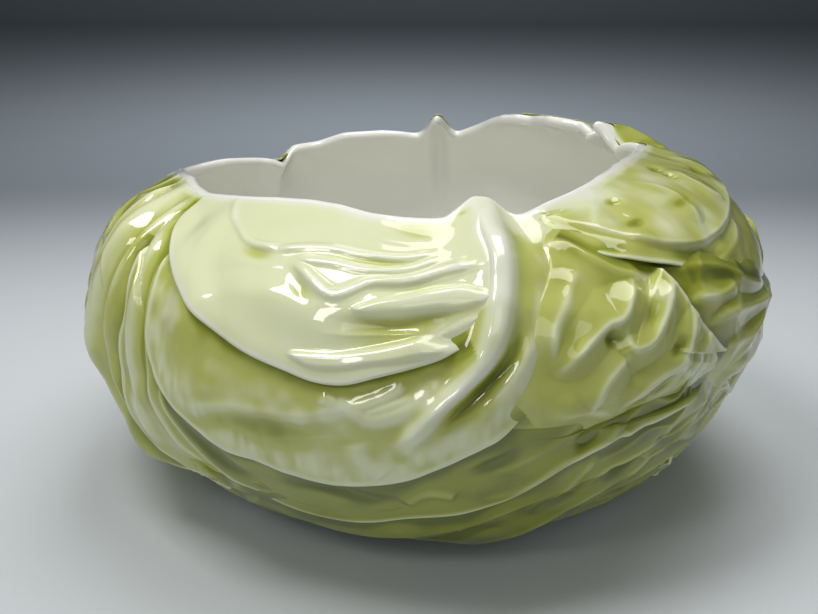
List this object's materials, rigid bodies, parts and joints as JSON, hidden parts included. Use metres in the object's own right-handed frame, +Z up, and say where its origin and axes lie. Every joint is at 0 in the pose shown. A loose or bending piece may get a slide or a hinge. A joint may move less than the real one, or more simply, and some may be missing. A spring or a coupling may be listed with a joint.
{
  "type": "soup tureen",
  "caption": "Open soup tureen shaped as a cabbage: a glazed bowl on a foot ring, dressed in overlapping relief leaves.",
  "frame": {"origin": "centre of the tureen's outline at the level of the surface it stands on", "axes": "+Z up, -Y to the front (the side with the large smooth leaf and the midrib's bump on the rim), +X to the front's right"},
  "size_m": [0.2626, 0.2702, 0.1321],
  "materials": {
    "white_glaze": "gloss",
    "green_glaze": "gloss",
    "bare_foot": "matte"
  },
  "bodies": {
    "root": {"back_leaf": "green_glaze", "back_left_leaf": "green_glaze", "back_left_lobe": "green_glaze", "back_right_leaf": "green_glaze", "base_leaf_back": "green_glaze", "base_leaf_front": "green_glaze", "base_leaf_left": "green_glaze", "base_leaf_right": "green_glaze", "bowl": "white_glaze", "far_left_leaf": "green_glaze", "far_right_leaf": "green_glaze", "foot_ring": "bare_foot", "front_leaf": "green_glaze", "front_left_leaf": "green_glaze", "left_outer_leaf": "green_glaze", "left_pleated_leaf": "green_glaze", "lower_back_leaf": "green_glaze", "lower_front_leaf": "green_glaze", "right_leaf": "green_glaze", "upper_right_leaf": "green_glaze"}
  },
  "joints": []
}
